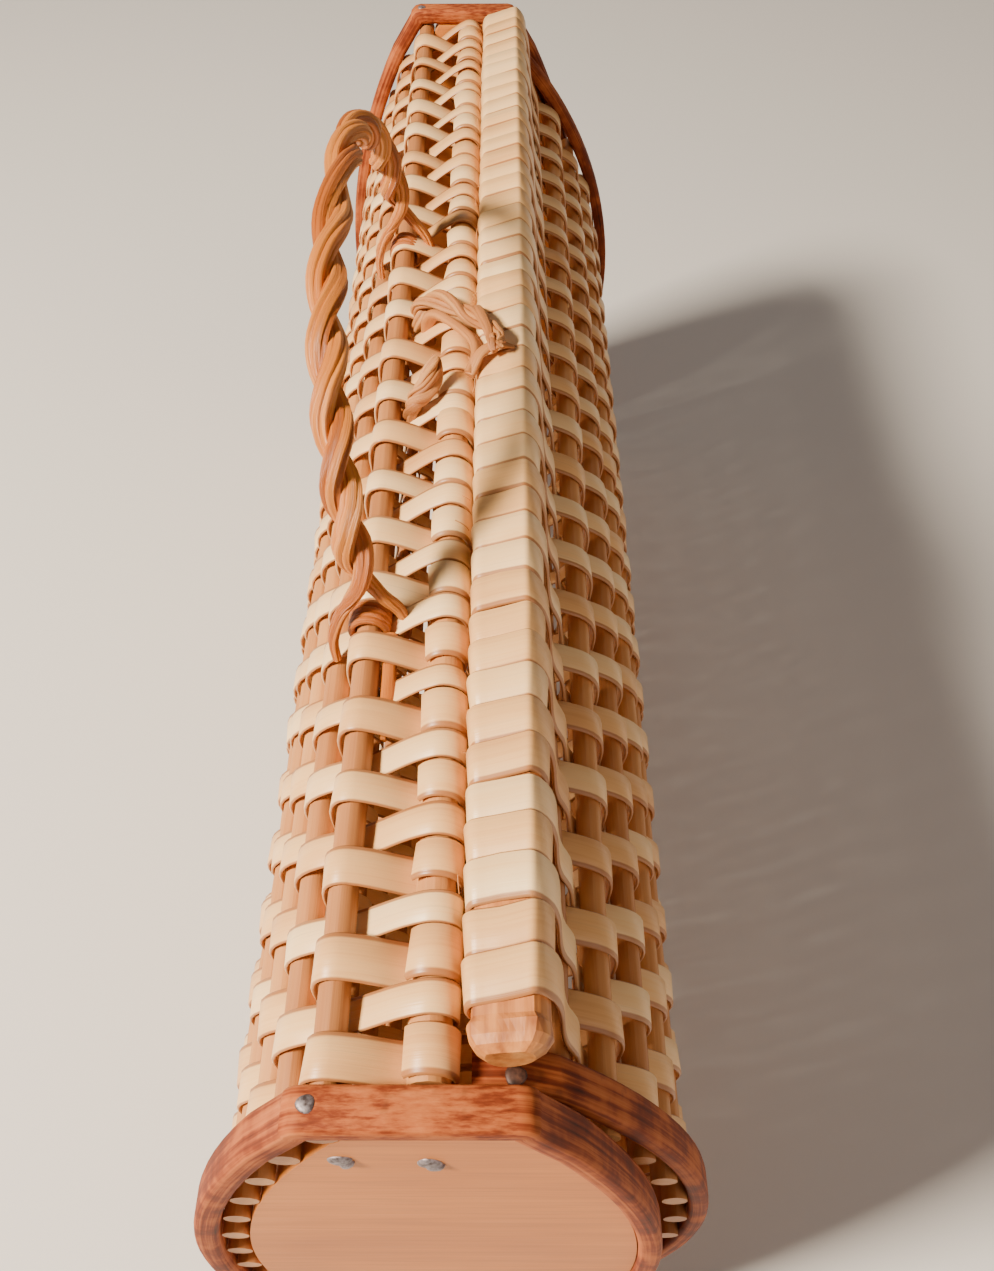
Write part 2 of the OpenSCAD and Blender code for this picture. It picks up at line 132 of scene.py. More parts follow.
class Finish:
    def __init__(self, name, **constants):
        self.material = bpy.data.materials.new(name)
        self.material.use_nodes = True
        self.tree = self.material.node_tree
        self.shader = self.tree.nodes["Principled BSDF"]
        for socket, value in constants.items():
            self.shader.inputs[socket.replace("_", " ")].default_value = value

    def node(self, kind, settings, feeds, out=0):
        made = self.tree.nodes.new(kind)
        for key, value in settings.items():
            if key == "stops":
                ramp = made.color_ramp
                while len(ramp.elements) < len(value):
                    ramp.elements.new(1.0)
                for element, (place, colour) in zip(ramp.elements, value):
                    element.position = place
                    element.color = tuple(colour) + (1.0,)
            else:
                setattr(made, key, value)
        for key, value in feeds.items():
            if isinstance(value, Val):
                self.tree.links.new(value.socket, made.inputs[key])
            else:
                made.inputs[key].default_value = value
        return Val(made.outputs[out])

    def attribute(self, name):
        return self.node("ShaderNodeAttribute", {"attribute_name": name}, {}, out=2)

    def place(self):
        return self.node("ShaderNodeTexCoord", {}, {}, out=3)

    def vector(self, x, y, z):
        return self.node("ShaderNodeCombineXYZ", {}, {0: x, 1: y, 2: z})

    def parts(self, where):
        split = self.node("ShaderNodeSeparateXYZ", {}, {0: where})
        return [Val(socket) for socket in split.socket.node.outputs]

    def noise(self, where, scale, detail, rough):
        return self.node("ShaderNodeTexNoise", {},
                         {"Vector": where, "Scale": scale, "Detail": detail, "Roughness": rough})

    def ramp(self, value, stops):
        return self.node("ShaderNodeValToRGB", {"stops": stops}, {0: value})

    def blend(self, factor, first, second):
        return self.node("ShaderNodeMix", {"data_type": "RGBA", "blend_type": "MIX"},
                         {0: factor, 6: first, 7: second}, out=2)

    def feed(self, **values):
        for socket, value in values.items():
            self.tree.links.new(value.socket, self.shader.inputs[socket.replace("_", " ")])

    def bump(self, height, strength, distance):
        self.feed(Normal=self.node("ShaderNodeBump", {}, {"Height": height, "Strength": strength,
                                                          "Distance": distance}))

def above(value, level, gain):
    return ((value - level) * gain).math("MAXIMUM", 0.0)

print("shader helpers ready")

# %% [markdown]
# ## Split willow
# The strips are split, planed and unpeeled in places. Each is a slightly different cream, its
# fibres run along it, and its cut edges are darker: partly the cut wood's own colour and partly
# painted shade along the edges. The sweep stores three attributes on each strip: `tone` differs
# from strip to strip, `along` is the distance along it in metres, and `across` runs once round
# its section.

# %% Strip finish
def fibre_finish(name, stops, dark, streak, grain, rough, bump, cut_edge_and_shade=0.0):
    f = Finish(name)
    tone, along, across = f.attribute("tone"), f.attribute("along"), f.attribute("across")
    lines = f.noise(f.vector(along * 22.0, across * streak, tone * 31.0), 1.0, 4.0, 0.6)
    hairs = f.noise(f.vector(along * 60.0, across * streak * 3.2, tone * 57.0), 1.0, 2.0, 0.5)
    blotch = f.noise(f.vector(along * 30.0, tone * 19.0, across * 2.0), 1.0, 2.0, 0.5)
    shade = tone * 0.36 + blotch * 0.42 + lines * 0.30 - 0.04
    colour = f.ramp(shade, stops)
    colour = f.blend(above(lines, 0.56, grain), colour, dark)
    # Darkens each strip's narrow edges and a thin band beside them: partly the cut edges' own
    # colour, partly painted shade lines along the edges.
    if cut_edge_and_shade:
        face = (across * 2.0).math("FRACT")
        cut = ((face - 0.83) * 26.0).math("MAXIMUM", (0.07 - face) * 30.0)
        colour = f.blend(cut.math("MAXIMUM", 0.0).math("MINIMUM", 1.0) * cut_edge_and_shade, colour, dark)
    f.feed(Base_Color=colour, Roughness=rough + hairs * 0.18)
    f.bump(lines * 0.6 + hairs * 0.4, bump, 0.4 * MM)
    return f.material

STRIP = fibre_finish(
    "split_willow",
    [(0.16, (0.62, 0.28, 0.092)), (0.42, (0.86, 0.49, 0.195)), (0.75, (0.97, 0.70, 0.36))],
    dark=(0.34, 0.115, 0.032, 1.0), streak=26.0, grain=1.3, rough=0.30, bump=0.22, cut_edge_and_shade=0.85)
ROD = fibre_finish(
    "peeled_rod",
    [(0.2, (0.32, 0.110, 0.030)), (0.5, (0.52, 0.215, 0.064)), (0.8, (0.68, 0.33, 0.115))],
    dark=(0.22, 0.075, 0.022, 1.0), streak=20.0, grain=1.1, rough=0.44, bump=0.3)
ROPE = fibre_finish(
    "twisted_skein",
    [(0.15, (0.25, 0.058, 0.007)), (0.45, (0.49, 0.130, 0.017)), (0.8, (0.74, 0.285, 0.045))],
    dark=(0.13, 0.026, 0.005, 1.0), streak=30.0, grain=2.8, rough=0.28, bump=0.8)
CLASP = fibre_finish(
    "torn_skein",
    [(0.15, (0.30, 0.095, 0.024)), (0.5, (0.50, 0.195, 0.055)), (0.8, (0.70, 0.35, 0.12))],
    dark=(0.24, 0.07, 0.028, 1.0), streak=22.0, grain=2.6, rough=0.42, bump=0.8)
print("fibre finishes:", [m.name for m in (STRIP, ROD, ROPE, CLASP)])

# %% [markdown]
# ## Bark, board, branch and nail
# The hoops are split branches with their bark left on: reddish brown and almost black in patches,
# and darker down the sides away from the crown, where shade is painted into the bark. The boards are
# plain softwood with faint grain from side to side.

# %% Bark finish
def bark_finish():
    f = Finish("hoop_bark", Specular_IOR_Level=0.15)
    along, across, tone = f.attribute("along"), f.attribute("across"), f.attribute("tone")
    where = f.place()
    lines = f.noise(f.vector(along * 18.0, across * 26.0, tone * 13.0), 1.0, 4.0, 0.6)
    patches_and_side_shade = f.noise(where, 95.0, 3.0, 0.6)
    fleck = f.noise(where, 420.0, 2.0, 0.5)
    x = f.parts(where)[0]
    # Painted shade: the bark gets darker with distance from the crown, down both sides of the hoop.
    patches_and_side_shade = patches_and_side_shade + (x + 5 * MM).math("ABSOLUTE") * -2.2 + 0.03
    colour = f.ramp(lines * 0.5 + patches_and_side_shade * 0.5,
                    [(0.30, (0.055, 0.010, 0.004)), (0.44, (0.20, 0.036, 0.010)),
                     (0.53, (0.39, 0.100, 0.027)), (0.70, (0.54, 0.175, 0.052))])
    colour = f.blend(above(fleck, 0.62, 2.0), colour, (0.08, 0.028, 0.014, 1.0))
    f.feed(Base_Color=colour, Roughness=0.55 + patches_and_side_shade * 0.25)
    f.bump(lines * 0.7 + fleck * 0.3, 0.45, 0.5 * MM)
    return f.material

BARK = bark_finish()
print("made", BARK.name)

# %% Board finish
def board_finish():
    f = Finish("end_board_wood")
    x, _, z = f.parts(f.place())
    year = f.noise(f.vector(x * 14.0, 0.0, z * 260.0), 1.0, 4.0, 0.6)
    fine = f.noise(f.vector(x * 40.0, 0.0, z * 900.0), 1.0, 2.0, 0.5)
    stain = f.noise(f.place(), 22.0, 2.0, 0.5)
    colour = f.ramp(year * 0.5 + stain * 0.5,
                    [(0.3, (0.47, 0.138, 0.018)), (0.52, (0.60, 0.19, 0.027)),
                     (0.72, (0.70, 0.24, 0.040))])
    colour = f.blend(above(fine, 0.52, 2.4), colour, (0.44, 0.15, 0.05, 1.0))
    f.feed(Base_Color=colour, Roughness=0.5 + fine * 0.2)
    f.bump(year * 0.5 + fine * 0.5, 0.18, 0.3 * MM)
    return f.material

BOARD = board_finish()
print("made", BOARD.name)

# %% Branch and nail finishes
def branch_finish(name, stops):
    f = Finish(name)
    where = f.place()
    x, y, z = f.parts(where)
    lines = f.noise(f.vector(x * 420.0, y * 30.0, z * 420.0), 1.0, 3.0, 0.6)
    cloud = f.noise(where, 160.0, 2.0, 0.5)
    colour = f.ramp(lines * 0.5 + cloud * 0.5, stops)
    f.feed(Base_Color=colour, Roughness=0.4 + cloud * 0.25)
    f.bump(lines, 0.4, 0.4 * MM)
    return f.material

def nail_finish(name, shine, stops):
    f = Finish(name, Metallic=shine)
    wear = f.noise(f.place(), 900.0, 3.0, 0.6)
    colour = f.ramp(wear, stops)
    f.feed(Base_Color=colour, Roughness=0.38 + wear * 0.3)
    return f.material

CUT_BRANCH = branch_finish("cut_branch", [(0.34, (0.30, 0.085, 0.020)), (0.5, (0.59, 0.215, 0.052)),
                                          (0.66, (0.76, 0.34, 0.10))])
LOOP = branch_finish("loop_skein", [(0.32, (0.46, 0.24, 0.12)), (0.5, (0.66, 0.40, 0.22)),
                                    (0.7, (0.76, 0.52, 0.31))])
NAIL = nail_finish("nail_steel", 0.75, [(0.35, (0.10, 0.075, 0.075)), (0.6, (0.32, 0.28, 0.30)),
                                        (0.8, (0.20, 0.10, 0.06))])
RUSTY = nail_finish("rusty_nail", 0.2, [(0.35, (0.030, 0.012, 0.008)), (0.6, (0.075, 0.030, 0.018)),
                                        (0.8, (0.12, 0.045, 0.02))])
print("made", CUT_BRANCH.name, LOOP.name, NAIL.name, RUSTY.name)

# %% [markdown]
# ## One sweep for everything that follows a line
# Strips, rods, strands and hoops are all a section led along a line. The lines are drawn as loose
# edges with attributes, and a node tree turns them into curves and sweeps a rounded section along
# them. The section is a rectangle with filleted corners, so that a strip and a round rod differ
# only in the tree's inputs. A free curve normal keeps a strip's width along the case.

# %% Node tree helpers
def new_tree(name, sizes):
    tree = bpy.data.node_groups.new(name, "GeometryNodeTree")
    tree.interface.new_socket("Geometry", in_out="INPUT", socket_type="NodeSocketGeometry")
    for label, kind, value in sizes:
        socket = tree.interface.new_socket(label, in_out="INPUT", socket_type="NodeSocket" + kind)
        if value is not None:
            socket.default_value = value
    tree.interface.new_socket("Geometry", in_out="OUTPUT", socket_type="NodeSocketGeometry")
    return tree, tree.nodes.new("NodeGroupInput"), tree.nodes.new("NodeGroupOutput")

def grow(tree, kind, settings, feeds):
    made = tree.nodes.new(kind)
    for key, value in settings.items():
        setattr(made, key, value)
    for key, value in feeds.items():
        if isinstance(value, bpy.types.NodeSocket):
            tree.links.new(value, made.inputs[key])
        else:
            made.inputs[key].default_value = value
    return made

def settle(obj, tree, values):
    mod = obj.modifiers.new("make", "NODES")
    mod.node_group = tree
    names = {s.name: s.identifier for s in tree.interface.items_tree if s.in_out == "INPUT"}
    for label, value in values.items():
        mod[names[label]] = value
    seen = bpy.context.evaluated_depsgraph_get()
    mesh = bpy.data.meshes.new_from_object(obj.evaluated_get(seen))
    obj.modifiers.remove(mod)
    obj.data = mesh
    return obj

def close_tree(tree, inp, out, shape):
    real = grow(tree, "GeometryNodeRealizeInstances", {}, {0: shape})
    dress = grow(tree, "GeometryNodeSetMaterial", {},
                 {0: real.outputs[0], "Material": inp.outputs["Material"]})
    tree.links.new(dress.outputs[0], out.inputs[0])
    return tree

print("node tree helpers ready")

# %% The sweep tree
def sweep_tree(name, free):
    tree, inp, out = new_tree(name, [("Width", "Float", 1.0), ("Thickness", "Float", 0.14),
                                     ("Corner", "Float", 0.05), ("Corner Cuts", "Int", 1),
                                     ("Material", "Material", None)])
    line = grow(tree, "GeometryNodeMeshToCurve", {}, {0: inp.outputs["Geometry"]})
    if free:
        side = grow(tree, "GeometryNodeInputNamedAttribute", {"data_type": "FLOAT_VECTOR"},
                    {0: "side"})
        line = grow(tree, "GeometryNodeSetCurveNormal", {"mode": "FREE"},
                    {0: line.outputs[0], "Normal": side.outputs[0]})
    box = grow(tree, "GeometryNodeCurvePrimitiveQuadrilateral", {},
               {0: inp.outputs["Width"], 1: inp.outputs["Thickness"]})
    soft = grow(tree, "GeometryNodeFilletCurve", {"mode": "POLY"},
                {0: box.outputs[0], "Count": inp.outputs["Corner Cuts"],
                 "Radius": inp.outputs["Corner"], "Limit Radius": True})
    part = grow(tree, "GeometryNodeSplineParameter", {}, {})
    mark = grow(tree, "GeometryNodeStoreNamedAttribute", {"data_type": "FLOAT", "domain": "POINT"},
                {0: soft.outputs[0], "Name": "across", "Value": part.outputs["Factor"]})
    size = grow(tree, "GeometryNodeInputNamedAttribute", {"data_type": "FLOAT"}, {0: "size"})
    skin = grow(tree, "GeometryNodeCurveToMesh", {},
                {0: line.outputs[0], 1: mark.outputs[0], "Scale": size.outputs[0],
                 "Fill Caps": True})
    smooth = grow(tree, "GeometryNodeSetShadeSmooth", {},
                  {0: skin.outputs[0], "Shade Smooth": True})
    return close_tree(tree, inp, out, smooth.outputs[0])

FLAT_SWEEP = sweep_tree("flat_sweep", True)
ROUND_SWEEP = sweep_tree("round_sweep", False)
print("trees:", FLAT_SWEEP.name, ROUND_SWEEP.name)

# %% Lines with their attributes
def run_of(spots):
    return np.concatenate([[0.0], np.cumsum(np.linalg.norm(np.diff(spots, axis=0), axis=1))])

def draw_lines(name, lines):
    points, edges, marks = [], [], {"size": [], "tone": [], "along": []}
    sides = []
    for line in lines:
        start, count = len(points), len(line["points"])
        spots = np.asarray(line["points"])
        points.extend(map(tuple, spots))
        edges.extend((start + i, start + i + 1) for i in range(count - 1))
        if line.get("closed"):
            edges.append((start + count - 1, start))
        marks["size"].extend(np.broadcast_to(line["size"], count))
        marks["tone"].extend([line["tone"]] * count)
        marks["along"].extend(run_of(spots) + line["tone"] * 3.0)
        sides.append(np.broadcast_to(line.get("side", (0.0, 1.0, 0.0)), (count, 3)))
    mesh = bpy.data.meshes.new(name)
    mesh.from_pydata(points, edges, [])
    for key, values in marks.items():
        mesh.attributes.new(key, "FLOAT", "POINT").data.foreach_set(
            "value", np.asarray(values, dtype=np.float32))
    mesh.attributes.new("side", "FLOAT_VECTOR", "POINT").data.foreach_set(
        "vector", np.concatenate(sides).astype(np.float32).ravel())
    obj = bpy.data.objects.new(name, mesh)
    bpy.context.collection.objects.link(obj)
    return obj

def sweep(name, lines, material, width=1.0, thickness=1.0, corner=0.3, cuts=1, free=True):
    obj = settle(draw_lines(name, lines), FLAT_SWEEP if free else ROUND_SWEEP,
                 {"Width": width, "Thickness": thickness, "Corner": corner, "Corner Cuts": cuts,
                  "Material": material})
    print(name, "lines", len(lines), "faces", len(obj.data.polygons))
    return obj

# %% [markdown]
# ## The weave
# A strip's line is led from rod to rod: over one, under the next. Between two rods it is a smooth
# S, drawn as a cubic between two places with known directions. At the top it first winds round
# the edge rod, or round the lid's ridged branch, and at the bottom round the hinge side's rod.
# The strips' widths, places and leans vary a little, as hand work does.

# %% Leading a line from bend to bend
def unit(v):
    return v / np.linalg.norm(v)

def cubic(p, t, q, u, s):
    a, b = 2 * s**3 - 3 * s**2 + 1, s**3 - 2 * s**2 + s
    return a * p + b * t + (1 - a) * q + (s**3 - s**2) * u

def led(bends, step):
    line = []
    for (p, t), (q, u) in zip(bends[:-1], bends[1:]):
        gap = np.linalg.norm(q - p)
        n = max(2, int(round(gap / step)))
        for s in np.arange(n) / n:
            line.append(cubic(p, gap * t, q, gap * u, s))
    line.append(bends[-1][0])
    return np.array(line)

def wound(centre, reach, degrees):
    angles = np.radians(degrees)
    spots = [centre + reach(a) * np.array([math.cos(a), math.sin(a)]) for a in angles]
    turn = 1.0 if angles[-1] > angles[0] else -1.0
    ways = [turn * np.array([-math.sin(a), math.cos(a)]) for a in angles]
    for i in range(1, len(spots) - 1):
        ways[i] = unit(spots[i + 1] - spots[i - 1])
    return list(zip(spots, ways))

def spread(values, count):
    return np.interp(np.arange(count), np.linspace(0, count - 1, len(values)), values)

print("line helpers ready")

# %% The bends of one strip
HALF_STRIP, CLEARANCE = 0.55 * MM, 0.12 * MM
LIE = HALF_STRIP + CLEARANCE
STRIP_W = 7.6 * MM

def crossings(rods, outside, phase, corners):
    bends = []
    for i in range(1, len(rods) - 1):
        over = 1 if (i + phase) % 2 == 0 else -1
        centre, r = rods[i]
        way = unit(rods[i + 1][0] - rods[i - 1][0])
        out = outside * np.array([way[1], -way[0]])
        if over > 0 and i in corners:
            tilt = math.degrees(math.atan2(out[1], out[0]))
            bends += wound(centre, lambda a: r + LIE, tilt + outside * np.linspace(-42, 42, 4))
        else:
            bends.append((centre + over * out * (r + LIE), way))
    return bends

def body_bends(phase):
    last, last_r = BODY_RODS[-1]
    near = lambda a: EDGE_R + LIE
    low = lambda a: last_r + LIE
    top = wound(EDGE, near,
                np.linspace(-150, 112, 12) if phase == 0 else np.linspace(150, -105, 12))
    over_low = (len(BODY_RODS) - 1 + phase) % 2 == 0
    foot = wound(last, low,
                 np.linspace(-112, 150, 10) if over_low else np.linspace(105, -150, 10))
    return top + crossings(BODY_RODS, 1, phase, (1, len(BODY_RODS) - 2)) + foot

print("body strip bends:", len(body_bends(0)), len(body_bends(1)))

# %% The bends of one lid strip
PLANED, PLANED_WAY = 4.1 * MM, math.radians(105)
AROUND = (290, 268, 246, 224, 202, 184, 170, 158, 150, 138, 122, 105, 88, 74, 65, 59.5, 56, 50, 40,
          26)

def branch_reach(a, lie=LIE):
    facing = math.cos(a - PLANED_WAY)
    return min(BRANCH_R + lie, (PLANED + lie) / facing if facing > 0.3 else 1.0)

def lid_bends(phase):
    last, last_r = LID_RODS[-1]
    low = lambda a: last_r + LIE
    over_low = (len(LID_RODS) - 1 + phase) % 2 == 0
    foot = wound(last, low, np.linspace(-68, -330, 10) if over_low else np.linspace(75, 330, 10))
    leave = 38 if phase else 24
    top = wound(BRANCH, branch_reach, [a for a in AROUND if a > leave])
    return top + crossings(LID_RODS, -1, phase, ()) + foot

print("lid strip bends:", len(lid_bends(0)), len(lid_bends(1)))

# %% Weave both walls
def woven(name, bends_of, count, half, edge_width, lean, slant, even):
    pitch = 2 * half / count
    lines = []
    for k in range(count):
        over = (k + 1) % 2
        flat = led(bends_of(over), 2.0 * MM)
        n = len(flat)
        run = run_of(flat) / MM
        tone = chance.random()
        y = -half + (k + 0.5) * pitch + chance.normal(0, 0.22 * MM)
        sway = spread(chance.normal(0, 0.3 * MM, 9), n)
        sway += (np.arange(n) / n - 0.5) * chance.normal(0, 1.1 * MM)
        sway += slant * np.interp(run, [0, 17, 29, 70], [-0.5, -0.5, 0.5, 0.1])
        near_end = max(0.0, 1 - k / 9)
        sway += np.sign(slant) * 2.4 * MM * near_end * np.interp(run, [0, 34, 75], [1, 1, 0])
        room = np.clip(y + sway, -half + STRIP_W / 2, half - STRIP_W / 2)
        size = STRIP_W * chance.uniform(*even)
        size = size * spread(chance.uniform(0.94, 1.05, 9), n)
        size = size * (1 + np.interp(run, [0, 25, 52], [1, 1, 0]) * (edge_width[over] - 1))
        tilt = spread(chance.normal(0, lean, 12), n)
        tilt -= np.sign(slant) * np.interp(run, [0, 28, 40], [0.075, 0.075, 0])
        way = np.gradient(flat, axis=0)
        out = np.stack([way[:, 1], -way[:, 0]], 1) / np.linalg.norm(way, axis=1)[:, None]
        side = np.stack([out[:, 0] * np.sin(tilt), np.cos(tilt), out[:, 1] * np.sin(tilt)], 1)
        lines.append({"points": np.stack([flat[:, 0], room, flat[:, 1]], 1), "size": size,
                      "tone": tone, "side": side})
    return sweep(name, lines, STRIP, 1.0, 0.115, 0.05, 1)

body_strips = woven("body_strips", body_bends, 46, BODY_HALF, edge_width=(0.90, 1.16), lean=0.05,
                    slant=0.0, even=(0.88, 1.04))
lid_strips = woven("lid_strips", lid_bends, 44, LID_HALF, edge_width=(1.13, 1.13), lean=0.03,
                   slant=1.1 * MM, even=(0.96, 1.0))

# %% [markdown]
# ## Rods
# Willow rods are never quite straight or quite round. Each is a line with a small wobble and a
# slowly changing thickness, closed by a flat cut at both ends.

# %% Rods of the body and the lid
def willow(node, wobble=0.22 * MM):
    lo, hi = (np.array(c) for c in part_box(node))
    centre, r = rod_circle(node)
    count = 44
    y = np.linspace(lo[1], hi[1], count)
    calm = np.clip(np.minimum(np.arange(count), np.arange(count)[::-1]) / 4.0, 0, 1)
    dx = spread(chance.normal(0, wobble, 12), count) * calm
    dz = spread(chance.normal(0, wobble, 12), count) * calm
    size = 2 * r * spread(chance.uniform(0.93, 1.0, 12), count)
    return {"points": np.stack([centre[0] + dx, y, centre[1] + dz], 1), "size": size,
            "tone": chance.random(), "side": (1.0, 0.0, 0.0)}

body_rods = sweep("body_rods", [willow(n) for n in BODY_ROW], ROD, 1.0, 1.0, 0.5, 3)
lid_rods = sweep("lid_rods", [willow(n) for n in LID_ROW[1:]], ROD, 1.0, 1.0, 0.5, 3)

# %% [markdown]
# ## Hoops
# A hoop is a split branch with rounded edges, bent round its board. Its line follows the board's
# outline with tight bends at the corners. The lid's hoops are thinner and open towards the body.

# %% Lines of the hoops
FLAT_HALF = 19 * MM
MID_X = -5.0 * MM

def bow(top, side, mid_z, half_h, count):
    sag = abs(side - top)
    r = (half_h**2 + sag**2) / (2 * sag)
    turn = 1 if side > top else -1
    a = np.linspace(math.asin(half_h / r), -math.asin(half_h / r), count)
    return np.stack([side + turn * r * (np.cos(a) - 1), mid_z + r * np.sin(a)], 1)

def rounded(corners, cut, count):
    line = []
    total = len(corners)
    for i in range(total):
        before, here, after = corners[i - 1], corners[i], corners[(i + 1) % total]
        a = here + unit(before - here) * cut
        b = here + unit(after - here) * cut
        for s in np.linspace(0, 1, count):
            line.append((1 - s)**2 * a + 2 * s * (1 - s) * here + s**2 * b)
    return np.array(line)

def end_hoop_line(node):
    lo, hi = (np.array(c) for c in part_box(node))
    mid_z, half_h = (lo[2] + hi[2]) / 2, (hi[2] - lo[2]) / 2
    deep = 2.65 * MM
    right = bow(MID_X + FLAT_HALF - 1.4 * MM, hi[0] - deep, mid_z, half_h - deep, 30)
    left = bow(MID_X - FLAT_HALF + 1.4 * MM, lo[0] + deep, mid_z, half_h - deep, 30)[::-1]
    corners = [right[0], right[-1], left[0], left[-1]]
    bend = rounded(corners, 1.6 * MM, 4)
    flat = np.concatenate([bend[0:4], right[2:-2], bend[4:8], bend[8:12], left[2:-2], bend[12:16]])
    y = (lo[1] + hi[1]) / 2
    return {"points": np.stack([flat[:, 0], np.full(len(flat), y), flat[:, 1]], 1), "closed": True,
            "size": 1.0, "tone": chance.random()}

print("hoop line points:", len(end_hoop_line("near_end_hoop")["points"]))

# %% Sweep the hoops
def lid_hoop_line(node):
    lo, hi = (np.array(c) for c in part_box(node))
    deep, low = 3.2 * MM, 2.1 * MM
    mid_z = CAD_BOX[0][2] + 105 * MM
    half_h = hi[2] - mid_z - low
    side = bow(MID_X + FLAT_HALF + 2 * MM - deep, hi[0] - deep, mid_z, half_h, 34)
    tab = np.array([[lo[0] + 0.4 * MM, hi[2] - low], [side[0][0] - 3 * MM, hi[2] - low]])
    keep = side[side[:, 1] > lo[2] + 1.0 * MM]
    flat = np.concatenate([tab, keep[1:]])
    y = (lo[1] + hi[1]) / 2
    return {"points": np.stack([flat[:, 0], np.full(len(flat), y), flat[:, 1]], 1), "size": 1.0,
            "tone": chance.random()}

HOOP_W, END_THICK, LID_THICK, HOOP_EDGE = 7.4 * MM, 5.0 * MM, 4.2 * MM, 1.3 * MM
hoops = {}
for node in ("near_end_hoop", "far_end_hoop"):
    hoops[node] = sweep(node.replace("_end_", "_board_"), [end_hoop_line(node)], BARK,
                        HOOP_W, END_THICK, HOOP_EDGE, 3)
for node in ("near_lid_hoop", "far_lid_hoop"):
    hoops[node] = sweep(node + "_bark", [lid_hoop_line(node)], BARK,
                        HOOP_W, LID_THICK, HOOP_EDGE, 3)

# %% [markdown]
# ## The lid's branch
# The branch under the wraps shows only at its ends, which are thicker and cut with a knife. Its
# section is a circle with one side planed flat, which leaves a ridge. Rings of that section are
# joined, and the end rings are drawn in unevenly so that they read as knife cuts.

# %% Rings to a mesh
def join_rings(bm, loops):
    for near, far in zip(loops[:-1], loops[1:]):
        for i in range(len(near)):
            j = (i + 1) % len(near)
            bm.faces.new((near[i], near[j], far[j], far[i]))

def piece_from(bm, name, material):
    mesh = bpy.data.meshes.new(name)
    bm.to_mesh(mesh)
    mesh.materials.append(material)
    obj = bpy.data.objects.new(name, mesh)
    bpy.context.collection.objects.link(obj)
    return obj

print("ring helpers ready")

# %% Branch with knife-cut ends
def branch_piece():
    lo, hi = (np.array(c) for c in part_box("lid_branch"))
    sides = 28
    angles = np.arange(sides) / sides * 2 * math.pi
    cuts = [(0.0, 0.62), (0.0012, 0.90), (0.0026, 1.05), (0.0046, 1.07), (0.0056, 1.0)]
    rings = [(lo[1] + d, s, 1) for d, s in cuts] + [(hi[1] - d, s, -1) for d, s in cuts[::-1]]
    bm = bmesh.new()
    loops = []
    for y, s, end in rings:
        facet = [1.0 + 0.05 * math.sin(3 * a + 1.3 * end) * (s < 1.06) for a in angles]
        loops.append([bm.verts.new((BRANCH[0] + branch_reach(a, 0.0) * s * f * math.cos(a), y,
                                    BRANCH[1] + branch_reach(a, 0.0) * s * f * math.sin(a)))
                      for a, f in zip(angles, facet)])
    join_rings(bm, loops)
    bm.faces.new(loops[0][::-1])
    bm.faces.new(loops[-1])
    bmesh.ops.recalc_face_normals(bm, faces=bm.faces)
    return piece_from(bm, "branch", CUT_BRANCH)

branch = branch_piece()
print("branch faces", len(branch.data.polygons))

# %% [markdown]
# ## Handle
# Two skeins, each of six thin splits, are twisted round each other and stand as an arch on the
# corner rod. Their thin ends splay out on both sides of it. The arch's line is measured from the
# frame, each skein runs round it as a helix, and each split runs round its skein.

# %% Twisted handle
def helix(line, r, turns, start, way):
    line = np.asarray(line)
    n = len(line)
    ahead = np.gradient(line, axis=0)
    ahead /= np.linalg.norm(ahead, axis=1)[:, None]
    first = np.cross(np.broadcast_to(way, (n, 3)), ahead)
    first /= np.linalg.norm(first, axis=1)[:, None]
    second = np.cross(ahead, first)
    a = (start + turns * np.arange(n) / (n - 1)) * 2 * math.pi
    round_it = first * np.cos(a)[:, None] + second * np.sin(a)[:, None]
    return line + np.reshape(r, (-1, 1)) * round_it

def curve_through(points, count):
    p = np.asarray(points, dtype=float)
    ways = np.gradient(p, axis=0)
    line = []
    for i in range(len(p) - 1):
        for s in np.linspace(0, 1, count, endpoint=False):
            line.append(cubic(p[i], ways[i], p[i + 1], ways[i + 1], s))
    line.append(p[-1])
    return np.array(line)

GRIP_LO, GRIP_HI = (np.array(c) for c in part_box("handle_grip"))
FOOT_Y = [sum(np.array(c)[1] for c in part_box(n)) / 2
          for n in ("near_handle_foot", "far_handle_foot")]
HANDLE_R = 5.25 * MM

def arch(count):
    a = np.linspace(0, math.pi, count)
    base = CORNER[1] + 6.7 * MM
    rise = GRIP_HI[2] - HANDLE_R - base - 4 * MM
    lean = CORNER[0] - (GRIP_LO[0] + HANDLE_R)
    mid, half = (FOOT_Y[0] + FOOT_Y[1]) / 2, (FOOT_Y[1] - FOOT_Y[0]) / 2
    along = np.sign(np.cos(a)) * np.abs(np.cos(a)) ** 0.8
    return np.stack([CORNER[0] - lean * np.sin(a), mid - half * along,
                     base + rise * np.sin(a)], 1)

def leg(end, left):
    x, y = (-1.0, -4.0) if left else (1.0, 1.0)
    foot = np.array([CORNER[0], FOOT_Y[end], CORNER[1]])
    steps = [(3.4 * x, 0.2 * y, 8.0), (6.0 * x, 0.6 * y, 4.2), (7.6 * x, y, -1.0),
             (7.2 * x, 1.3 * y, -6.0)]
    return foot + np.array(steps) * MM

def cords(path, count, r, size, thick, turns, start, way):
    return [{"points": helix(path, r * thick, turns, m / count + start, way), "size": size * thick,
             "tone": chance.uniform(0.05, 0.95)} for m in range(count)]

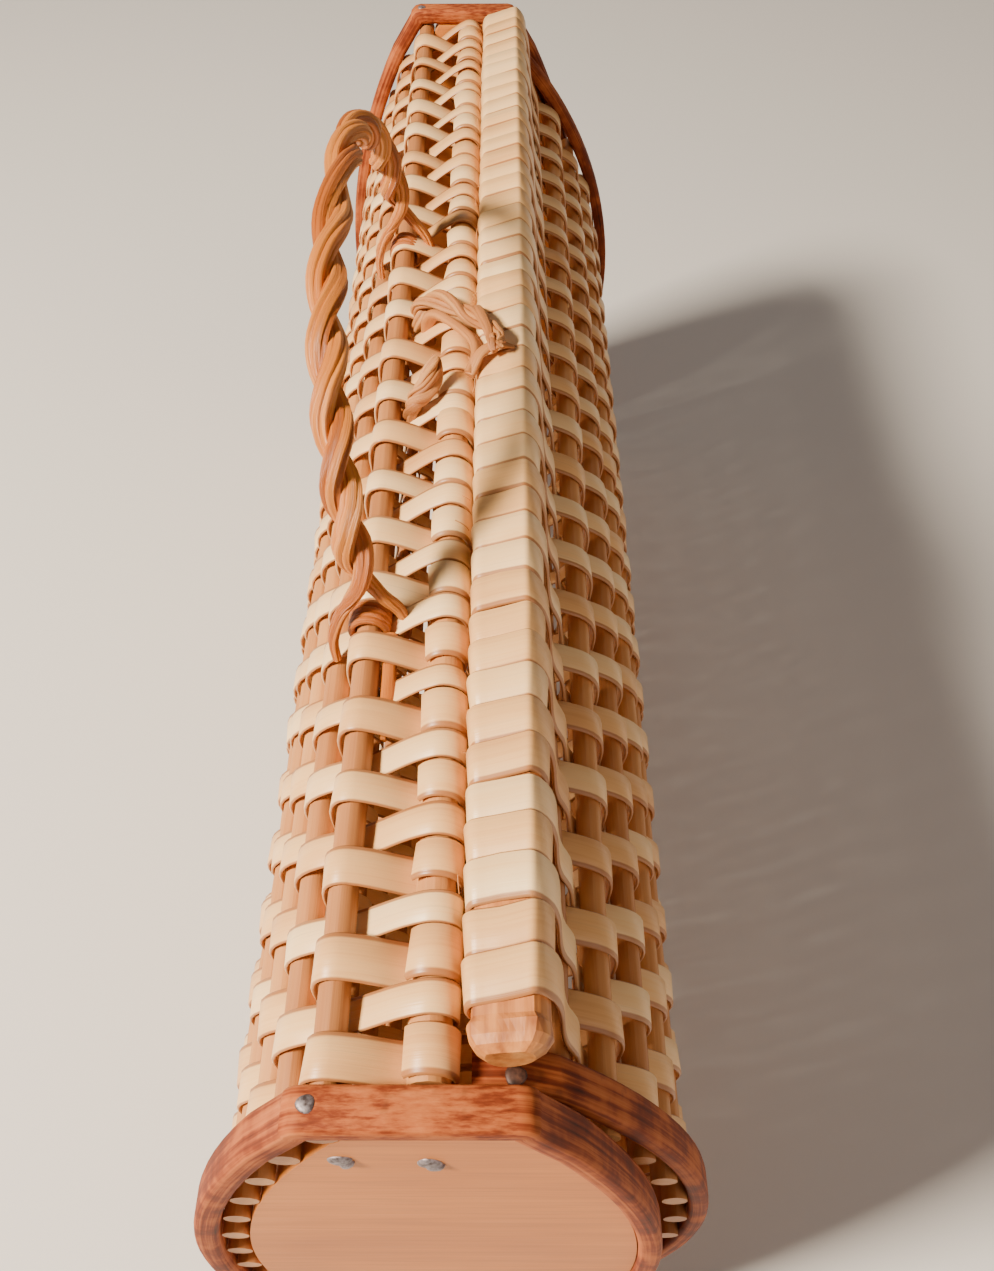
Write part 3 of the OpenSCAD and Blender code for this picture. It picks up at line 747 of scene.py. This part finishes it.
grip_line = arch(120)
GRIP_SIDE = (1.0, 0.0, 0.16)
strands = []
for j in range(2):
    path = helix(grip_line, 1.9 * MM, 6.5, j / 2 - 0.25, GRIP_SIDE)
    path = np.concatenate([leg(0, j == 0)[::-1], path[5:-5:3], leg(1, j == 1)])
    path = curve_through(path, 3)
    n = len(path)
    thick = np.interp(np.arange(n), [0, 8, 18, n - 19, n - 9, n - 1],
                      [0.42, 0.62, 1.0, 1.0, 0.62, 0.42])
    strands += cords(path, 6, 1.36 * MM, 2.15 * MM, thick, 2.5, 0.07 * j, GRIP_SIDE)
handle = sweep("handle_rope", strands, ROPE, 1.0, 1.0, 0.5, 2, free=False)

# %% [markdown]
# ## Handle feet, tail and clasp
# A short coil binds each foot of the handle to the corner rod. A tail of the core lies beside it.
# The clasp is a torn skein that crosses the edge towards the lid; a stub of its other half stands
# near it.

# %% Coils and tail
def coil(y, turns=4.2, count=96):
    a = np.linspace(-0.6, turns * 2 * math.pi - 0.6, count)
    r = CORNER_R + 0.9 * MM
    return np.stack([CORNER[0] + r * np.cos(a),
                     y + (np.arange(count) / (count - 1) - 0.5) * 6.2 * MM,
                     CORNER[1] + r * np.sin(a)], 1)

feet = {}
for node, y in zip(("near_handle_foot", "far_handle_foot"), FOOT_Y):
    feet[node] = sweep(node + "_coil", [{"points": coil(y), "size": 1.7 * MM, "tone": 0.3}], ROPE,
                       1.0, 0.8, 0.35, 3, free=False)

tail_lo, tail_hi = (np.array(c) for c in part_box("handle_tail"))
tail_mid = (tail_lo + tail_hi) / 2
tail_line = curve_through([(tail_mid[0], tail_lo[1], tail_mid[2] - 0.6 * MM),
                           (tail_mid[0] + 0.3 * MM, tail_mid[1], tail_mid[2]),
                           (tail_mid[0], tail_hi[1], tail_mid[2])], 8)
tail_size = 3.0 * MM * np.interp(np.arange(len(tail_line)), [0, 4, 16], [0.45, 1, 1])
tail = sweep("handle_core_tail", [{"points": tail_line, "size": tail_size, "tone": 0.4}], ROPE,
             1.0, 0.8, 0.35, 3, free=False)

# %% Torn clasp
def route(*steps):
    spots = [(EDGE[0] + x * MM, y * MM, EDGE[1] + z * MM) for x, y, z in steps]
    return curve_through(spots, 7)

clasp_line = route((-10.4, 11, -6.4), (-10.6, 10.5, 0.4), (-9.4, 11, 4.4), (-5.0, 9.5, 6.8),
                   (1.8, 3.0, 7.8), (6.6, -6, 11.4), (9.6, -14, 13.4), (10.4, -20, 13.2))
back_line = route((-8.2, 7, -5.0), (-8.0, 6, 2.6), (-5.2, 4, 5.8), (0.4, -3, 7.0),
                  (4.6, -12, 9.2), (5.4, -19, 9.8), (3.6, -24.5, 8.6))
whisker_line = route((3.6, -24.5, 8.4), (6.4, -20, 11.6), (10.4, -17.5, 12.2),
                     (14.8, -17.5, 11.6))
stub_line = route((-10.0, -27, -6.4), (-10.4, -28, 0.6), (-9.6, -28.5, 4.4), (-7.0, -27, 6.6),
                  (-5.0, -23, 9.0), (-4.4, -20.5, 10.6))

def skein(line, turns, r, size, thin):
    n = len(line)
    taper = np.interp(np.arange(n), [0, n * 0.7, n - 1], [1.0, 1.0, thin])
    both = []
    for j in range(2):
        path = helix(line, r, turns, j / 2, (0.0, 1.0, 0.0))
        both += cords(path, 4, 0.27 * size, 0.62 * size, taper, 1.2, 0.1 * j, (0.0, 1.0, 0.0))
    return both

def single(line, size, thin, tone):
    n = len(line)
    taper = np.interp(np.arange(n), [0, n * 0.6, n - 1], [1.0, 1.0, thin])
    return [{"points": line, "size": size * taper, "tone": tone}]

clasp = sweep("torn_clasp", skein(clasp_line, 2.0, 1.15 * MM, 3.3 * MM, 0.6)
              + single(back_line, 3.8 * MM, 0.8, 0.45) + single(whisker_line, 2.6 * MM, 0.35, 0.75),
              CLASP, 1.0, 0.62, 0.28, 3, free=False)
stub = sweep("torn_stub", skein(stub_line, 0.7, 1.0 * MM, 3.6 * MM, 0.5), CLASP,
             1.0, 0.5, 0.24, 3, free=False)

# %% [markdown]
# ## Nails and frayed fibres
# A nail head stands on the top and the bottom of each end hoop. The nails' tips come out of the
# boards and are hammered flat, and a rusty nail sits on each lid hoop beside the branch. Torn
# fibres stand along the seam: a small node tree strews bent hairs along a line, with a fixed seed.

# %% Nails
NAIL_PROFILE = ((0.12, 1.0), (0.55, 0.93), (0.85, 0.62), (0.98, 0.2), (1.0, -0.1), (0.93, -0.45),
                (0.5, -0.6), (0.42, -3.0))

def nail_set(name, heads, finish, sides=16):
    bm = bmesh.new()
    for spot, (wide, tall, high), turn, up in heads:
        other = np.array([0.0, 0.0, 1.0] if up[1] else [0.0, 1.0, 0.0])
        dent = chance.uniform(0, 2 * math.pi)
        loops = []
        for r, h in NAIL_PROFILE:
            ring = []
            for a in np.arange(sides) / sides * 2 * math.pi:
                grown = r * (1 + 0.06 * math.sin(3 * a + dent)) * MM
                u, v = wide * grown * math.cos(a), tall * grown * math.sin(a)
                side = u * math.cos(turn) - v * math.sin(turn)
                rest = u * math.sin(turn) + v * math.cos(turn)
                place = np.array(spot) + [side, 0, 0] + rest * other
                ring.append(bm.verts.new(place + h * high * MM * np.array(up)))
            loops.append(ring)
        join_rings(bm, loops)
        bm.faces.new(loops[0])
        bm.faces.new(loops[-1])
    bmesh.ops.recalc_face_normals(bm, faces=bm.faces)
    for face in bm.faces:
        face.smooth = True
    print(name, "heads", len(heads))
    return piece_from(bm, name, finish)

nail_lo, nail_hi = (np.array(c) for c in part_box("hoop_nails"))
board_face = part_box("far_end_board")[1][1]
heads = [((nail_lo[0] + 1.5 * MM, y, z), (1.55, 1.5, 0.5), 0.0, (0, 0, up))
         for y in (nail_lo[1] + 1.5 * MM, nail_hi[1] - 1.5 * MM)
         for z, up in ((nail_lo[2] + 0.5 * MM, -1), (nail_hi[2] - 0.3 * MM, 1))]
for x, z, turn in ((-12.4, 190.0, 0.35), (2.0, 188.5, -0.5)):
    for end in (-1, 1):
        spot = np.array([MID_X + x * MM, end * board_face, z * MM])
        heads += [(spot, (2.1, 2.0, 0.7), turn, (0, end, 0)),
                  (spot + [0.9 * MM, 0, -1.6 * MM], (1.3, 1.7, 0.9), turn - 0.7, (0, end, 0))]
nails = nail_set("nails", heads, NAIL)
tab_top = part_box("near_lid_hoop")[1][2]
lid_spots = [(MID_X + 16 * MM, end * (LID_HALF + 5.6 * MM), tab_top - 0.1 * MM)
             for end in (-1, 1)]
lid_nails = nail_set("lid_nails", [(spot, (1.8, 1.7, 0.4), 0.0, (0, 0, 1)) for spot in lid_spots],
                     RUSTY)

# %% Frayed fibres
def fray_tree():
    tree, inp, out = new_tree("fray", [("Count", "Int", 60), ("Shortest", "Float", 1.0 * MM),
                                       ("Longest", "Float", 5.0 * MM), ("Seed", "Int", 4),
                                       ("Material", "Material", None)])
    line = grow(tree, "GeometryNodeMeshToCurve", {}, {0: inp.outputs["Geometry"]})
    dots = grow(tree, "GeometryNodeCurveToPoints", {"mode": "COUNT"},
                {0: line.outputs[0], "Count": inp.outputs["Count"]})
    hair = grow(tree, "GeometryNodeCurveQuadraticBezier", {},
                {"Resolution": 6, "Start": (0.0, 0.0, 0.0), "Middle": (0.1, 0.0, 0.6),
                 "End": (0.8, 0.2, 0.75)})
    ring = grow(tree, "GeometryNodeCurvePrimitiveCircle", {}, {"Resolution": 5, "Radius": 0.035})
    skin = grow(tree, "GeometryNodeCurveToMesh", {},
                {0: hair.outputs[0], 1: ring.outputs[0], "Fill Caps": True})
    turn = grow(tree, "FunctionNodeRandomValue", {"data_type": "FLOAT_VECTOR"},
                {0: (-0.9, -0.7, 0.0), 1: (0.9, 0.7, 6.28), "Seed": inp.outputs["Seed"]})
    spin = grow(tree, "FunctionNodeEulerToRotation", {}, {0: turn.outputs[0]})
    long = grow(tree, "FunctionNodeRandomValue", {"data_type": "FLOAT"},
                {2: inp.outputs["Shortest"], 3: inp.outputs["Longest"], "Seed": inp.outputs["Seed"]})
    strewn = grow(tree, "GeometryNodeInstanceOnPoints", {},
                  {0: dots.outputs[0], "Instance": skin.outputs[0], "Rotation": spin.outputs[0],
                   "Scale": long.outputs[1]})
    return close_tree(tree, inp, out, strewn.outputs[0])

SEAM = EDGE + np.array([EDGE_R + 0.8 * MM, 3.2 * MM])
seam_line = [(SEAM[0] + chance.normal(0, 0.5 * MM), y, SEAM[1])
             for y in np.linspace(-0.16, 0.16, 60)]
frays = settle(draw_lines("frays", [{"points": seam_line, "size": 1.0, "tone": 0.8}]), fray_tree(),
               {"Count": 34, "Shortest": 1.0 * MM, "Longest": 3.6 * MM, "Seed": 7,
                "Material": CLASP})
print("frays", len(frays.data.polygons), "faces")

# %% [markdown]
# ## Hand over the pieces
# Each new piece rides on the body or the lid and stands for the solids that it replaces. The end
# boards and the hinge loops keep their solid shapes and get a finish.

# %% Ride and replace
def give(piece, body, slot, *nodes):
    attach(piece, body)
    if nodes:
        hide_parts(*nodes)

give(body_strips, "body", "strip", "body_weave")
give(lid_strips, "lid", "strip", "lid_weave")
give(body_rods, "body", "rod", *BODY_ROW)
give(lid_rods, "lid", "rod", *LID_ROW[1:])
give(branch, "lid", "branch", "lid_branch")
give(handle, "body", "rope", "handle_grip")
give(tail, "body", "rope", "handle_tail")
give(clasp, "body", "rope", "clasp_loop")
give(stub, "body", "rope", "clasp_stub")
give(nails, "body", "nail", "hoop_nails")
give(lid_nails, "lid", "nail")
give(frays, "body", "rope")
for node, piece in feet.items():
    give(piece, "body", "rope", node)
for node, piece in hoops.items():
    give(piece, "lid" if "lid" in node else "body", "hoop", node)
for node, finish in (("near_end_board", BOARD), ("far_end_board", BOARD),
                     ("hinge_loop_1", LOOP), ("hinge_loop_2", LOOP), ("hinge_loop_3", LOOP)):
    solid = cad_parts[node]
    solid.data.materials.clear()
    solid.data.materials.append(finish)
print("pieces handed over")

# %% [markdown]
# ## Floor, light and camera
# A pale floor, a warm key light from the upper left and two larger, weaker lights. The camera
# stands close above the near end and looks down along the case.

# %% Floor and lights
def floor_piece():
    bm = bmesh.new()
    bmesh.ops.create_grid(bm, x_segments=1, y_segments=1, size=6.0)
    paper = Finish("floor_paper", Roughness=0.9, Base_Color=(0.72, 0.70, 0.68, 1.0))
    obj = piece_from(bm, "floor", paper.material)

def soft_light(name, place, aim, size, power, colour):
    data = bpy.data.lights.new(name, "AREA")
    data.size, data.energy, data.color = size, power, colour
    obj = bpy.data.objects.new(name, data)
    obj.location = place
    obj.rotation_euler = (Vector(aim) - Vector(place)).to_track_quat("-Z", "Y").to_euler()
    bpy.context.collection.objects.link(obj)

floor_piece()
soft_light("key", (-0.96, -0.50, 1.15), (0, 0, 0.15), 0.26, 66.0, (1.0, 0.87, 0.70))
soft_light("fill", (1.2, -0.9, 0.8), (0, 0, 0.1), 1.2, 9.5, (1.0, 0.82, 0.70))
soft_light("back", (0.1, 1.4, 1.1), (0, 0, 0.1), 1.0, 3.0, (1.0, 0.88, 0.76))
world = bpy.data.worlds.new("room")
world.use_nodes = True
world.node_tree.nodes["Background"].inputs[0].default_value = (1.0, 0.97, 0.94, 1.0)
world.node_tree.nodes["Background"].inputs[1].default_value = 0.06
bpy.context.scene.world = world
print("floor and lights set")

# %% Camera
CAMERA_AT = (8.92 * MM, -247.93 * MM, 383.95 * MM)
YAW, PITCH, ROLL = math.radians(0.412), math.radians(50.67), math.radians(-0.38)
LENS_PX, IMAGE_H, SENSOR = 1122.7, 1271.0, 36.0
cam = bpy.data.cameras.new("view")
cam.sensor_fit = "VERTICAL"
cam.sensor_height = SENSOR
cam.lens = LENS_PX / IMAGE_H * SENSOR
cam.clip_start = 0.01
view = bpy.data.objects.new("view", cam)
look = Vector((-math.sin(YAW) * math.cos(PITCH), math.cos(YAW) * math.cos(PITCH),
               -math.sin(PITCH)))
view.location = CAMERA_AT
turned = look.to_track_quat("-Z", "Y").to_matrix()
view.rotation_euler = (turned @ Matrix.Rotation(ROLL, 3, "Z")).to_euler()
bpy.context.collection.objects.link(view)
bpy.context.scene.camera = view
print("camera lens", round(cam.lens, 1))

# %% Update the scene
bpy.context.view_layer.update()
